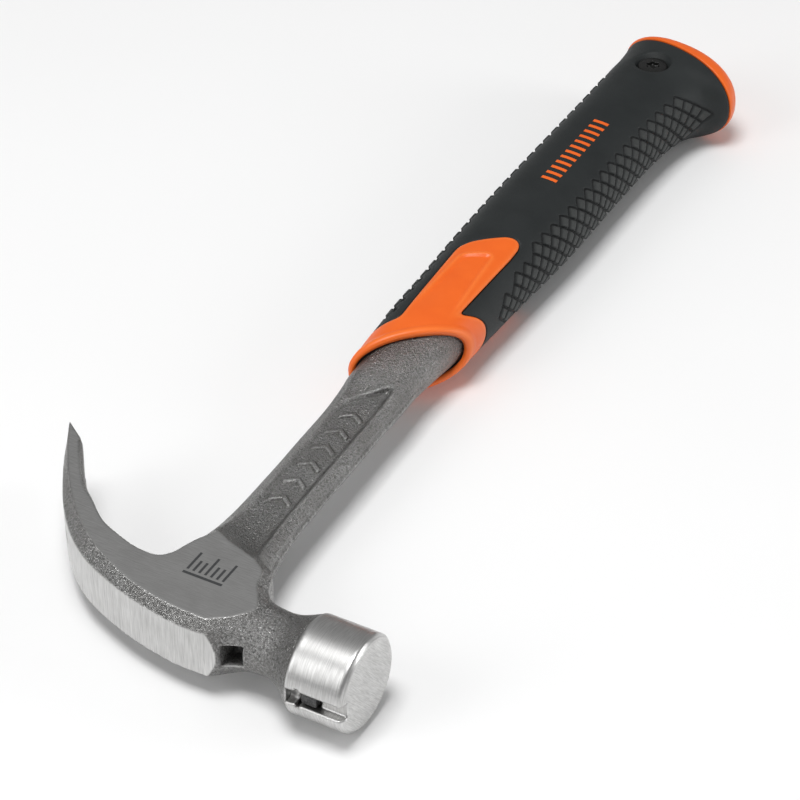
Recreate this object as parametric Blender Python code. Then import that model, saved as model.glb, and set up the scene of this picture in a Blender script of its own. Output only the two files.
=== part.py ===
"""Claw hammer: one steel forging with an over-moulded grip, lying on its side.

+X points out of the striking face, +Y runs along the handle to the butt and +Z comes
out of the near cheek. Lengths in the outlines are millimetres from the centre of the
striking face. The parent empty sets the finished hammer on the floor, centred.
"""

import math

import bmesh
import bpy
from mathutils import Matrix, Vector

MM = 0.001
GAP = 0.3  # clearance between touching pieces
SHARP_ANGLE = 32.0  # degrees, above which an edge is shaded sharp
REACH = 60.0  # how far a cutting block runs to each side
DEEP = 400.0  # how far it runs away from its slanted plane
BLOCK_HALF_HEIGHT = 40.0
THROUGH = 30.0  # half height of a cutter that goes right through the grip
CORE_THROUGH = 20.0  # the same for the core

# Striking head
POLL_RADIUS = 14.3
FACE_RADIUS = 12.8
FACE_CHAMFER = 1.2
POLL_LENGTH = 17.9
WAIST_RADIUS = 9.4

# Claw and cheeks
HALF_THICKNESS = 10.2
PAD_HALF_WIDTH = 7.6
SLOT_MOUTH = 9.0
SLOT_ROOT = 1.6
SLOT_LENGTH = 36.0
SLOT_RUN_OUT = 14.0  # how far the slot's cutter passes the tip
SLOT_FLARE = 1.2
SLOT_HALF_DEPTH = 16.0
SLOT_TIP = (-121.3, 41.5, 0.0)
SLOT_CHORD = (0.596, -0.803, 0.0)
POCKET_SIZE = (7.4, 9.0, 7.2)
POCKET_CENTRE = (-37.8, -6.6, 0.0)

# Nail starter
GROOVE_WIDTH = 5.2
GROOVE_DEPTH = 3.4
GROOVE_FILLET = 1.0
MAGNET_SIZE = (5.0, 2.2, 4.4)
MAGNET_X = -11.1
MAGNET_PROUD = 1.5
SEAT_OPENING = 3.0  # how far the seat's cutter rises above the magnet
NAIL_HEAD_SLOT = (0.9, 4.4, 6.6)
NAIL_HEAD_X = -14.2
NAIL_HEAD_SINK = 0.8  # depth below the groove's floor
GROOVE_RUN = (2.0, -21.0)

# Neck and tang
NECK_HALF_WIDTH = 9.5
NECK_RIDGE_Z = 3.9
TANG_X = -59.6
TANG_HALF_WIDTH = 7.0
TANG_HALF_THICKNESS = 3.2
TANG_END = 303.0
TANG_GAP = 0.7

# Collar, grip and butt
MOUTH_Y = 128.1
MOUTH_SLOPE = 0.92
COLLAR_TOP_Y = 140.5
COLLAR_TOP_SLOPE = 0.85
COLLAR_X = -59.5
RUBBER = 3.0
BUTT_X = -54.1
BUTT_Y = 309.0
BUTT_SLOPE = -0.31
BUTT_HALF = (22.7, 15.7)
SEAL = 0.5
SEAL_DEPTH = 5.0
CORE_RUN = (120.0, 324.0)
COLLAR_RUN = (108.0, 160.0)
PANEL_RUN = (128.0, 200.0)
GRIP_RUN = (130.0, 324.0)
HOLLOW_RUN = (109.0, 324.5)
SWELL_RUN = (90.0, 151.0)
PANEL_RISE = 0.05  # how far the panel stands above the rubber
PANEL_START = 4.0  # from the collar's mouth

# Cross screw
SCREW_X = -58.6
SCREW_Y = 298.6
SCREW_HEAD_RADIUS = 5.2
SCREW_SHANK_RADIUS = 2.5
COUNTERBORE_RADIUS = 6.2
SOCKET_RADIUS = 2.1
HEAD_TOP_Z = 13.6
HEAD_THICKNESS = 2.4
SOCKET_DEPTH = 1.6
SHANK_OVERLAP = 1.0

RING = 40  # points round the poll and the grip

# Poll profile: x, y of the axis, radius.
POLL_PROFILE = [(0.0, 0.0, FACE_RADIUS), (-FACE_CHAMFER, 0.0, POLL_RADIUS),
                (-POLL_LENGTH, 0.0, POLL_RADIUS), (-19.6, 0.4, 12.6), (-21.8, 1.0, 11.0),
                (-24.6, 1.6, 9.9), (-28.0, 2.0, WAIST_RADIUS), (-32.0, 2.1, 9.6),
                (-37.0, 2.2, 10.2), (-46.0, 2.2, 10.6)]
# Outer edge of the claw and head at the ground pad, from the cheek to the tip.
PAD_LINE = [(-43.2, -10.9), (-52.0, -11.2), (-61.0, -9.8), (-70.5, -7.8), (-80.0, -4.6),
            (-89.9, -0.2), (-99.2, 6.2), (-107.9, 14.8), (-115.7, 24.6), (-121.7, 34.8), (-125.6, 44.6)]
# The same edge on the flat side of the claw.
SIDE_LINE = [(-45.7, -8.1), (-54.8, -7.8), (-63.6, -6.8), (-73.7, -4.1), (-83.3, 0.3),
             (-92.1, 5.3), (-101.3, 12.7), (-109.2, 21.1), (-115.6, 29.3), (-121.5, 37.9), (-126.0, 45.3)]
# Underside of the claw, from the tip's bevel to the cheek's upper edge.
INNER_LINE = [(-117.9, 39.9), (-107.1, 24.8), (-101.0, 19.2), (-93.2, 13.4), (-85.5, 10.1),
              (-78.2, 8.0), (-71.6, 8.0), (-68.4, 10.9), (-66.8, 14.9), (-65.2, 19.0), (-62.9, 23.2)]
# Right and upper edge of the flat cheek, up from the waist, and where its slope starts.
CHEEK_LINE = [(-55.6, 21.4), (-43.0, 17.0), (-39.1, 6.6), (-37.9, 1.4), (-40.5, -3.5)]
CHEEK_FOOT = [(-54.1, 24.0), (-41.6, 19.2), (-36.6, 7.6), (-35.0, 1.0), (-37.4, -6.6)]

# Neck sections: y, centre x, half width, flank half height, ridge (x, z), panel (x, z).
NECK_SECTIONS = [
    (6.0, -54.6, 13.4, 6.8, 12.0, 9.7, 10.0, 9.8),
    (14.0, -55.2, 12.2, 6.2, 10.6, 9.5, 8.6, 9.7),
    (20.0, -56.2, 11.3, 5.0, 9.4, 8.8, 7.8, 9.1),
    (26.0, -57.1, 10.6, 3.7, 8.2, 7.0, 6.8, 7.0),
    (32.0, -57.6, 10.2, 2.7, 7.4, 5.2, 6.0, 4.6),
    (40.0, -58.0, 9.8, 2.1, 6.8, NECK_RIDGE_Z, 5.6, 3.2),
    (72.0, -58.6, NECK_HALF_WIDTH, 2.0, 6.7, NECK_RIDGE_Z, 5.5, 3.2),
    (98.0, -59.3, 9.6, 2.0, 6.7, NECK_RIDGE_Z, 5.5, 3.2),
    (106.0, -59.7, 10.0, 2.2, 7.0, 4.5, 4.6, 4.2),
    (112.0, -60.2, 10.5, 2.5, 7.6, 5.6, 4.2, 6.0),
    (120.0, -60.2, 10.6, 2.7, 7.8, 6.4, 4.4, 7.6),
    (130.0, -58.7, 9.7, 3.4, 7.6, 7.4, 4.6, 8.6),
    (141.0, -58.6, 9.4, 3.2, 7.0, 6.3, 4.2, 7.5),
    (150.0, TANG_X, TANG_HALF_WIDTH, 2.4, 6.2, TANG_HALF_THICKNESS, 3.0, TANG_HALF_THICKNESS),
    (TANG_END, TANG_X, TANG_HALF_WIDTH, 2.4, 6.2, TANG_HALF_THICKNESS, 3.0, TANG_HALF_THICKNESS),
]

# Grip sections: y, centre x, half width, half thickness.
GRIP_SECTIONS = [
    (108.0, -60.5, 11.8, 8.8), (118.0, -60.6, 12.5, 10.0), (130.0, -60.6, 13.4, 11.2),
    (142.0, -60.4, 14.1, 12.2), (160.0, -60.2, 14.5, 13.0), (184.0, -60.2, 15.3, 13.6),
    (208.0, -59.9, 16.1, 13.9), (250.0, -59.8, 16.0, 14.0), (274.0, -59.4, 16.1, 14.2),
    (286.0, -58.8, 16.7, 14.5), (292.0, -58.1, 17.4, 14.8), (298.0, -56.7, 18.9, 15.1),
    (303.0, -54.7, 20.9, 15.35), (308.0, -54.2, 21.6, 15.5), (325.0, -53.8, 22.2, 15.6),
]

# Cap layers: height over the butt's plane, slope, scale of the oval.
CAP_LAYERS = [(GAP, BUTT_SLOPE, 1.0), (2.6, -0.25, 1.0), (4.4, -0.21, 0.97), (5.9, -0.18, 0.88),
              (7.0, -0.16, 0.74), (7.7, -0.15, 0.52), (8.0, -0.15, 0.22)]

# Outline of the raised panel on each side of the grip.
PANEL_LINE = [(-65.6, 126.0), (-66.6, 173.6), (-65.6, 176.8), (-61.2, 182.1), (-54.8, 186.7),
              (-52.2, 186.5), (-50.3, 184.3), (-49.6, 181.2), (-49.0, 126.0)]


def clear_scene():
    for obj in list(bpy.data.objects):
        bpy.data.objects.remove(obj, do_unlink=True)


def make_material(name, color, roughness, metallic):
    material = bpy.data.materials.new(name)
    material.use_nodes = True
    shader = material.node_tree.nodes["Principled BSDF"]
    shader.inputs["Base Color"].default_value = (*color, 1.0)
    shader.inputs["Roughness"].default_value = roughness
    shader.inputs["Metallic"].default_value = metallic
    return material


def finish(name, bm, material=None):
    """An object from bm, whose points are in millimetres, with its faces pointing out."""
    bmesh.ops.recalc_face_normals(bm, faces=bm.faces)
    mesh = bpy.data.meshes.new(name)
    bmesh.ops.scale(bm, vec=Vector((MM, MM, MM)), verts=bm.verts)
    bm.to_mesh(mesh)
    bm.free()
    mesh.shade_smooth()
    mesh.set_sharp_from_angle(angle=math.radians(SHARP_ANGLE))
    obj = bpy.data.objects.new(name, mesh)
    bpy.context.collection.objects.link(obj)
    if material:
        mesh.materials.append(material)
    return obj


def loft(name, rings, material=None):
    """One closed body through rings of equal length, with flat ends."""
    bm = bmesh.new()
    loops = [[bm.verts.new(point) for point in ring] for ring in rings]
    for low, high in zip(loops, loops[1:]):
        for i, vert in enumerate(low):
            after = (i + 1) % len(low)
            bm.faces.new((vert, low[after], high[after], high[i]))
    bm.faces.new(loops[0])
    bm.faces.new(loops[-1])
    return finish(name, bm, material)


def prism(name, outline, low, high):
    """The outline, in X and Y, extruded from z = low to z = high."""
    return loft(name, [[(x, y, z) for x, y in outline] for z in (low, high)])


def cylinder(name, radius, low, high, x, y, material=None, sides=32):
    """A round bar along Z."""
    turns = [2 * math.pi * i / sides for i in range(sides)]
    circle = [(x + radius * math.cos(turn), y + radius * math.sin(turn)) for turn in turns]
    return loft(name, [[(*point, z) for point in circle] for z in (low, high)], material)


def box(name, size, centre, material=None):
    bm = bmesh.new()
    place = Matrix.Translation(Vector(centre)) @ Matrix.Diagonal(Vector((*size, 1.0)))
    bmesh.ops.create_cube(bm, size=1.0, matrix=place)
    return finish(name, bm, material)


def use(operation, target, *tools):
    """Unites the tools with the target, cuts them from it or keeps what they share."""
    for tool in tools:
        modifier = target.modifiers.new(f"{operation.lower()}_{tool.name}", "BOOLEAN")
        modifier.operation = operation
        modifier.solver = "EXACT"
        modifier.object = tool
        tool.hide_render = True
        tool.display_type = "WIRE"


def spline(points, steps=3):
    """A smooth open line through the points, by Catmull and Rom's rule."""
    ends = [points[0], *points, points[-1]]
    line = []
    for before, start, stop, after in zip(ends, ends[1:], ends[2:], ends[3:]):
        for i in range(steps):
            t = i / steps
            line.append(tuple(
                0.5 * (2 * b + (c - a) * t + (2 * a - 5 * b + 4 * c - d) * t ** 2
                       + (3 * b - a - 3 * c + d) * t ** 3)
                for a, b, c, d in zip(before, start, stop, after)))
    return line + [points[-1]]


def turned_ring(x, y, radius):
    """A ring round the poll's axis, in the plane at x."""
    turns = [2 * math.pi * i / RING for i in range(RING)]
    return [(x, y + radius * math.cos(turn), radius * math.sin(turn)) for turn in turns]


def neck_ring(section, grow=0.0):
    """Twelve points round the neck: flanks, ridges and the panel between them."""
    y, centre, width, flank, ridge, ridge_z, panel, panel_z = section
    quarter = [(width + grow, flank + grow / 2), (ridge + grow, ridge_z + grow),
               (panel, panel_z + grow)]
    half = quarter + [(-x, z) for x, z in reversed(quarter)]
    whole = half + [(x, -z) for x, z in reversed(half)]
    return [(centre + x, y, z) for x, z in whole]


def grip_ring(section, inset=0.0, power=2.2):
    """A ring round the grip, rounder than a rectangle and fuller than an ellipse."""
    y, centre, width, thickness = section
    ring = []
    for i in range(RING):
        turn = 2 * math.pi * (i + 0.5) / RING
        across, up = math.cos(turn), math.sin(turn)
        x = (width - inset) * math.copysign(abs(across) ** (2 / power), across)
        z = (thickness - inset) * math.copysign(abs(up) ** (2 / power), up)
        ring.append((centre + x, y, z))
    return ring


def section_at(sections, y):
    """The section at height y, between its two neighbours in the list."""
    for low, high in zip(sections, sections[1:]):
        if low[0] <= y <= high[0]:
            t = (y - low[0]) / (high[0] - low[0])
            return tuple(a + (b - a) * t for a, b in zip(low, high))
    raise ValueError(f"no section at y = {y}")


def grip_loft(name, inset, first, last, material=None):
    """The grip's shape between two heights, inset all round."""
    sections = spline(GRIP_SECTIONS, 2)
    chosen = [section_at(sections, first), section_at(sections, last)]
    chosen[1:1] = [section for section in sections if first + 1.0 < section[0] < last - 1.0]
    return loft(name, [grip_ring(section, inset) for section in chosen], material)


def beyond(name, x, y, slope, side):
    """A block that holds everything past a slanted plane: side is +1 for the butt's side."""
    edge = [(x - REACH, y - slope * REACH), (x + REACH, y + slope * REACH)]
    far = [(x + REACH, y + side * DEEP), (x - REACH, y + side * DEEP)]
    return prism(name, edge + far, -BLOCK_HALF_HEIGHT, BLOCK_HALF_HEIGHT)


def build_forging(steel):
    """Head, claw, neck and tang: one piece of steel."""
    outer = spline(SIDE_LINE)
    pad = spline(PAD_LINE)
    inner = spline(INNER_LINE, 2)
    rings = []
    for z, line, cheek in ((-HALF_THICKNESS, outer, CHEEK_LINE),
                           (-PAD_HALF_WIDTH, pad, CHEEK_FOOT),
                           (PAD_HALF_WIDTH, pad, CHEEK_FOOT),
                           (HALF_THICKNESS, outer, CHEEK_LINE)):
        rings.append([(x, y, z) for x, y in line + inner + cheek])
    forging = loft("forged_body", rings, steel)

    poll = loft("poll", [turned_ring(*section) for section in POLL_PROFILE])
    neck = loft("neck", [neck_ring(section) for section in NECK_SECTIONS])
    use("UNION", forging, poll, neck)

    # The nail slot is a wedge through the claw, square to its chord.
    tip = Vector(SLOT_TIP)
    chord = Vector(SLOT_CHORD).normalized()
    across = Vector((0.0, 0.0, 1.0))
    through = chord.cross(across)
    mouth = SLOT_MOUTH / 2 + SLOT_FLARE
    wedge = [(-SLOT_RUN_OUT, mouth), (SLOT_LENGTH, SLOT_ROOT / 2),
             (SLOT_LENGTH, -SLOT_ROOT / 2), (-SLOT_RUN_OUT, -mouth)]
    slot = loft("slot_cutter", [[tip + chord * u + across * w + through * t for u, w in wedge]
                                for t in (-SLOT_HALF_DEPTH, SLOT_HALF_DEPTH)])

    pocket = box("pocket_cutter", POCKET_SIZE, POCKET_CENTRE)
    floor_y = GROOVE_DEPTH - POLL_RADIUS
    mouth_y = -(POLL_RADIUS + 1.0)
    groove = [(mouth_y, GROOVE_WIDTH / 2), (floor_y - GROOVE_FILLET, GROOVE_WIDTH / 2),
              (floor_y, GROOVE_WIDTH / 2 - GROOVE_FILLET), (floor_y, GROOVE_FILLET - GROOVE_WIDTH / 2),
              (floor_y - GROOVE_FILLET, -GROOVE_WIDTH / 2), (mouth_y, -GROOVE_WIDTH / 2)]
    starter = loft("groove_cutter", [[(x, y, z) for y, z in groove] for x in GROOVE_RUN])
    seat_size = [side + 2 * GAP for side in MAGNET_SIZE]
    seat_size[1] += SEAT_OPENING
    seat_y = floor_y - MAGNET_PROUD + MAGNET_SIZE[1] + GAP - seat_size[1] / 2
    seat = box("magnet_seat_cutter", seat_size, (MAGNET_X, seat_y, 0.0))
    head_slot_y = floor_y + NAIL_HEAD_SINK - NAIL_HEAD_SLOT[1] / 2
    head_slot = box("nail_head_slot_cutter", NAIL_HEAD_SLOT, (NAIL_HEAD_X, head_slot_y, 0.0))
    hole = cylinder("tang_hole", SCREW_SHANK_RADIUS + GAP, -THROUGH, THROUGH, SCREW_X, SCREW_Y,
                    sides=24)
    use("DIFFERENCE", forging, slot, pocket, starter, seat, head_slot, hole)
    return forging


def build_magnet(material):
    centre_y = GROOVE_DEPTH - POLL_RADIUS - MAGNET_PROUD + MAGNET_SIZE[1] / 2
    return box("nail_magnet", MAGNET_SIZE, (MAGNET_X, centre_y, 0.0), material)


def build_core(material):
    """Collar, side panels and the tube round the tang."""
    core = grip_loft("core_sleeve", RUBBER + GAP, *CORE_RUN, material)
    use("DIFFERENCE", core, beyond("core_back", BUTT_X, BUTT_Y - RUBBER - GAP, BUTT_SLOPE, 1))
    collar = grip_loft("collar", 0.0, *COLLAR_RUN)
    use("DIFFERENCE", collar, beyond("collar_top", COLLAR_X, COLLAR_TOP_Y, COLLAR_TOP_SLOPE, 1))
    panel = grip_loft("panels", -PANEL_RISE, *PANEL_RUN)
    use("INTERSECT", panel, prism("panel_outline", PANEL_LINE, -THROUGH, THROUGH))
    use("DIFFERENCE", panel, beyond("panel_mouth", COLLAR_X, MOUTH_Y + PANEL_START, MOUTH_SLOPE, -1))
    use("UNION", core, collar, panel)
    bore = loft("tang_bore", [neck_ring(section, TANG_GAP) for section in NECK_SECTIONS[8:]])
    seal_seat = loft("seal_seat", mouth_rings(2 * GAP + SEAL))
    use("DIFFERENCE", seal_seat,
        beyond("seat_end", COLLAR_X, MOUTH_Y + SEAL_DEPTH + 2 * GAP, MOUTH_SLOPE, 1))
    seat_z = HEAD_TOP_Z - HEAD_THICKNESS - GAP
    use("DIFFERENCE", core, beyond("collar_mouth", COLLAR_X, MOUTH_Y, MOUTH_SLOPE, -1), bore, seal_seat,
        cylinder("core_hole", SCREW_SHANK_RADIUS + GAP, -CORE_THROUGH, CORE_THROUGH,
                 SCREW_X, SCREW_Y),
        cylinder("head_seat", COUNTERBORE_RADIUS, seat_z, CORE_THROUGH, SCREW_X, SCREW_Y),
        cylinder("nut_seat", COUNTERBORE_RADIUS, -CORE_THROUGH, -seat_z, SCREW_X, SCREW_Y))
    return core


def mouth_rings(grow):
    """The neck's rings where it swells into the collar's mouth, larger all round by grow."""
    first, last = SWELL_RUN
    return [neck_ring(section, grow) for section in NECK_SECTIONS if first < section[0] < last]


def build_seal(material):
    """A thin ring round the neck, just inside the collar's mouth."""
    seal = loft("collar_seal", mouth_rings(GAP + SEAL), material)
    bore = loft("seal_bore", mouth_rings(GAP))
    use("DIFFERENCE", seal,
        beyond("seal_front", COLLAR_X, MOUTH_Y + GAP, MOUTH_SLOPE, -1),
        beyond("seal_back", COLLAR_X, MOUTH_Y + SEAL_DEPTH, MOUTH_SLOPE, 1), bore)
    return seal


def build_grip(material):
    """The rubber over the core, open over both side panels."""
    grip = grip_loft("grip_overmould", 0.0, *GRIP_RUN, material)
    hollow = grip_loft("grip_hollow", RUBBER, *HOLLOW_RUN)
    use("DIFFERENCE", hollow, beyond("hollow_back", BUTT_X, BUTT_Y - RUBBER, BUTT_SLOPE, 1))
    window = [(x + math.copysign(GAP, x - COLLAR_X), y + GAP) for x, y in PANEL_LINE]
    use("DIFFERENCE", grip,
        beyond("grip_front", COLLAR_X, COLLAR_TOP_Y + GAP * 1.1, COLLAR_TOP_SLOPE, -1),
        beyond("grip_back", BUTT_X, BUTT_Y, BUTT_SLOPE, 1),
        hollow, prism("panel_window", window, -THROUGH, THROUGH),
        cylinder("counterbore", COUNTERBORE_RADIUS, 0.0, THROUGH, SCREW_X, SCREW_Y),
        cylinder("nut_bore", COUNTERBORE_RADIUS, -THROUGH, 0.0, SCREW_X, SCREW_Y))
    return grip


def build_cap(material):
    """The hard cap over the butt: a low dome on a slanted oval."""
    rings = []
    for height, slope, scale in CAP_LAYERS:
        flat = grip_ring((BUTT_Y + height, BUTT_X, BUTT_HALF[0] * scale, BUTT_HALF[1] * scale))
        rings.append([(x, y + slope * (x - BUTT_X), z) for x, y, z in flat])
    return loft("butt_cap", rings, material)


def build_screw(material):
    """Button head with a six-point socket, over a long shank."""
    screw = cylinder("grip_screw", SCREW_HEAD_RADIUS, HEAD_TOP_Z - HEAD_THICKNESS, HEAD_TOP_Z,
                     SCREW_X, SCREW_Y, material)
    shank_end = -HEAD_TOP_Z + HEAD_THICKNESS + GAP
    shank = cylinder("shank", SCREW_SHANK_RADIUS, shank_end, HEAD_TOP_Z - SHANK_OVERLAP,
                     SCREW_X, SCREW_Y)
    socket = cylinder("socket", SOCKET_RADIUS, HEAD_TOP_Z - SOCKET_DEPTH, THROUGH,
                      SCREW_X, SCREW_Y, sides=6)
    use("UNION", screw, shank)
    use("DIFFERENCE", screw, socket)
    return screw


def build_nut(material):
    """Round nut on the far side: its thread takes the shank's end."""
    return cylinder("barrel_nut", SCREW_HEAD_RADIUS, -HEAD_TOP_Z, HEAD_THICKNESS - HEAD_TOP_Z,
                    SCREW_X, SCREW_Y, material)


def place_on_floor(parts):
    """Parents every part to one empty, which centres them over the origin, on the floor."""
    bpy.context.view_layer.update()
    graph = bpy.context.evaluated_depsgraph_get()
    corners = []
    for part in parts:
        mesh = part.evaluated_get(graph).to_mesh()
        corners += [vert.co.copy() for vert in mesh.vertices]
        part.evaluated_get(graph).to_mesh_clear()
    low = [min(corner[i] for corner in corners) for i in range(3)]
    high = [max(corner[i] for corner in corners) for i in range(3)]
    hammer = bpy.data.objects.new("hammer", None)
    bpy.context.collection.objects.link(hammer)
    hammer.location = (-(low[0] + high[0]) / 2, -(low[1] + high[1]) / 2, -low[2])
    for obj in bpy.data.objects:
        if obj.type == "MESH":
            obj.parent = hammer


def main():
    clear_scene()
    steel = make_material("forged_steel", (0.32, 0.32, 0.31), 0.42, 1.0)
    magnet = make_material("magnet", (0.05, 0.05, 0.05), 0.5, 1.0)
    orange = make_material("orange_plastic", (0.90, 0.18, 0.02), 0.42, 0.0)
    rubber = make_material("black_rubber", (0.030, 0.033, 0.033), 0.7, 0.0)
    black_steel = make_material("black_steel", (0.03, 0.03, 0.03), 0.45, 1.0)
    parts = [
        build_forging(steel),
        build_magnet(magnet),
        build_core(orange),
        build_seal(rubber),
        build_grip(rubber),
        build_cap(orange),
        build_screw(black_steel),
        build_nut(black_steel),
    ]
    place_on_floor(parts)


main()
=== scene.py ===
"""Visual model of the claw hammer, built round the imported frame.

Shapes are made in millimetres from the centre of the striking face: +X out of the face,
+Y along the handle to the butt, +Z out of the upper cheek. The forging is one implicit
solid, meshed on a grid. The grip's skins are grids wrapped round the handle, with the
edges of the orange panels and of the screw's counterbores cut exactly into them.
"""

import math
from itertools import product

import bpy
import numpy as np
from mathutils import Matrix, Vector


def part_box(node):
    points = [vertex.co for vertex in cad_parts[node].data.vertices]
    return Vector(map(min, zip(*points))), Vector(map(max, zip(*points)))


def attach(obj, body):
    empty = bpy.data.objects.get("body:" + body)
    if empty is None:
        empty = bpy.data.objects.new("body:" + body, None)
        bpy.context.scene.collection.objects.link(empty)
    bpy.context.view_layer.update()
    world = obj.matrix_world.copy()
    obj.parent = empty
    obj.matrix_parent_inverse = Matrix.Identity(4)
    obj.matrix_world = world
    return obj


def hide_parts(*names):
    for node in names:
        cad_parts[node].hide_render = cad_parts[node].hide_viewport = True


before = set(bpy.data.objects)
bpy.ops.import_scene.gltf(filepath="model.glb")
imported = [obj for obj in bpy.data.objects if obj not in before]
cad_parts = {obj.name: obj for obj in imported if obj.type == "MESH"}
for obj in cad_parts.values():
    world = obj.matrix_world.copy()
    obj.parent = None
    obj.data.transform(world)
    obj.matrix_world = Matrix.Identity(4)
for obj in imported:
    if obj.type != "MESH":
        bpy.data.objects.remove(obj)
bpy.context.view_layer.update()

MM = 0.001
BODY_LOW, BODY_HIGH = (np.array(corner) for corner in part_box("forged_body"))
POLL_RADIUS = (BODY_HIGH[2] - BODY_LOW[2]) / 2 / MM
SCREW_ALONG = 298.27  # from the striking face to the cross screw, in millimetres
SCREW_MIDDLE = np.mean(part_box("grip_screw"), axis=0)
FACE_CENTRE = np.array([BODY_HIGH[0], SCREW_MIDDLE[1] - SCREW_ALONG * MM, (BODY_LOW[2] + BODY_HIGH[2]) / 2])


def node_box(node):
    """Lowest and highest corner of a CAD node, in millimetres from the striking face."""
    return [(np.array(corner) - FACE_CENTRE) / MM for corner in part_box(node)]


# Head
FACE_RADIUS = 12.8
FACE_CHAMFER = 1.2
POLL_LENGTH = 17.9
HALF_THICKNESS = 10.2
PAD_HALF_WIDTH = 7.6
GROOVE_BOTTOM = 10.9
GROOVE_HALF_WIDTH = 2.6
GROOVE_END = -17.6
NAIL_HEAD_SLOT = (-14.65, -13.75)
NAIL_HEAD_HALF_WIDTH = 3.3
NAIL_HEAD_BOTTOM = 10.1
SEAT_GAP = 0.3
MAGNET_LOW, MAGNET_HIGH = node_box("nail_magnet")
POCKET_X = (-40.5, -34.9)
POCKET_HALF_WIDTH = 3.6
POCKET_FLOOR = -2.1
SLOT_TIP = (-121.3, 41.5)
SLOT_CHORD = (0.596, -0.803)
SLOT_LENGTH = 36.0
SLOT_ROOT = 0.8
SLOT_FLARE = 0.098
SLOT_LIMIT_X = -88.0
INNER_CHAMFER = 1.3
INNER_CHAMFER_RUN = (92.0, 112.0)
PAD_END = (-41.5, -11.2)
PAD_END_SLANT = (0.77, 0.64)
PAD_END_CURVE = 0.045
CHEEK_RELIEF_X = -36.0

SIDE_LINE = [(-45.7, -8.1), (-54.8, -7.8), (-63.6, -6.8), (-73.7, -4.1), (-83.3, 0.3), (-92.1, 5.3),
             (-101.3, 12.7), (-109.2, 21.1), (-115.6, 29.3), (-121.5, 37.9), (-126.11, 45.7)]
PAD_LINE = [(-40.2, -11.0), (-52.0, -11.4), (-61.0, -10.3), (-70.5, -8.3), (-80.0, -5.2), (-89.9, -0.8),
            (-99.2, 5.9), (-107.5, 14.8), (-114.4, 24.5), (-120.7, 34.9), (-125.95, 45.5)]
INNER_LINE = [(-117.6, 39.8), (-106.8, 25.3), (-100.7, 19.7), (-93.2, 13.4), (-85.5, 10.1), (-78.2, 8.0),
              (-71.6, 8.0), (-68.4, 10.9), (-66.8, 14.9), (-65.2, 19.0), (-62.2, 24.2)]
CHEEK_LINE = [(-57.7, 21.9), (-50.0, 19.6), (-43.0, 16.8), (-41.2, 11.4), (-39.1, 6.4), (-38.2, 1.4),
              (-40.5, -3.8)]
CHEEK_FOOT = [(-57.0, 23.6), (-49.0, 22.0), (-41.2, 19.0), (-38.6, 12.6), (-36.4, 7.0), (-35.2, 1.0),
              (-37.2, -6.4)]

# Turned profile of the waist: x, y of its axis, radius.
WAIST = [(-60.0, 2.2, 9.0), (-46.0, 2.2, 10.4), (-37.0, 2.2, 10.1), (-32.0, 2.1, 9.6), (-28.0, 2.0, 9.5),
         (-24.6, 1.5, 10.4), (-21.8, 0.9, 11.8), (-19.4, 0.3, 13.2), (-17.8, 0.0, 14.0), (-15.0, 0.0, 14.0)]

# Neck: y, centre x, half width, half height of the edge, place and height of the ridge, crown.
NECK = [(4.0, -54.6, 13.4, 6.8, 12.0, 9.7, 0.0), (14.0, -54.8, 13.0, 6.2, 10.8, 9.6, 0.0),
        (20.0, -55.5, 12.2, 5.2, 9.7, 8.9, 0.0), (26.0, -56.3, 11.4, 3.9, 8.6, 7.2, 0.0),
        (32.0, -57.2, 10.6, 2.9, 7.6, 5.4, 0.0), (40.0, -57.9, 9.9, 2.2, 6.9, 4.1, 0.0),
        (56.0, -58.3, 9.5, 2.0, 6.7, 3.9, 0.0), (80.0, -58.8, 9.5, 2.0, 6.7, 3.9, 0.0),
        (98.0, -59.3, 9.6, 2.0, 6.7, 3.9, 0.0), (106.0, -59.7, 10.0, 2.2, 7.0, 4.5, 0.0),
        (112.0, -60.2, 10.5, 2.5, 7.6, 5.6, 0.4), (120.0, -60.2, 10.6, 2.7, 7.8, 6.4, 1.2),
        (130.0, -58.7, 9.7, 3.4, 7.6, 7.4, 1.2), (141.0, -58.6, 9.4, 3.2, 7.0, 6.3, 1.2),
        (149.0, -59.6, 7.0, 2.4, 6.2, 3.2, 0.0), (160.0, -59.6, 7.0, 2.4, 6.2, 3.2, 0.0)]
# Sunken panel of the neck: y, half width, height of its floor.
NECK_PANEL = [(14.0, 10.4, 10.4), (20.0, 9.4, 9.6), (26.0, 7.6, 6.9), (32.0, 6.5, 4.6), (40.0, 5.7, 3.3),
              (70.0, 5.5, 3.1), (120.0, 5.5, 3.1)]
COLLAR_WALL = 2.35
NECK_START = 4.0
ROOT_SLANT = 0.375
ROOT_POINT = (-56.0, 44.0)
ROOT_LENGTH = 20.0
SWELL_START = (108.0, 126.0)
SWELL_END = (147.0, 151.5)
DOME_START = (104.0, 120.0)
FLASH = 0.5
FLASH_WIDTH = 0.6
CHEVRON_RUN = (48.0, 98.0)
CHEVRON_PITCH = 8.4
CHEVRON_LEAN = 0.75
CHEVRON_HALF_STROKE = 0.62
CHEVRON_HALF_WIDTH = 3.5
PANEL_END = (-62.9, 101.6)
PANEL_END_SLOPE = 1.1
TANG_START = 152.0
TANG_STUB = 155.0
TANG_END = BODY_HIGH[1] / MM - FACE_CENTRE[1] / MM

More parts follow.
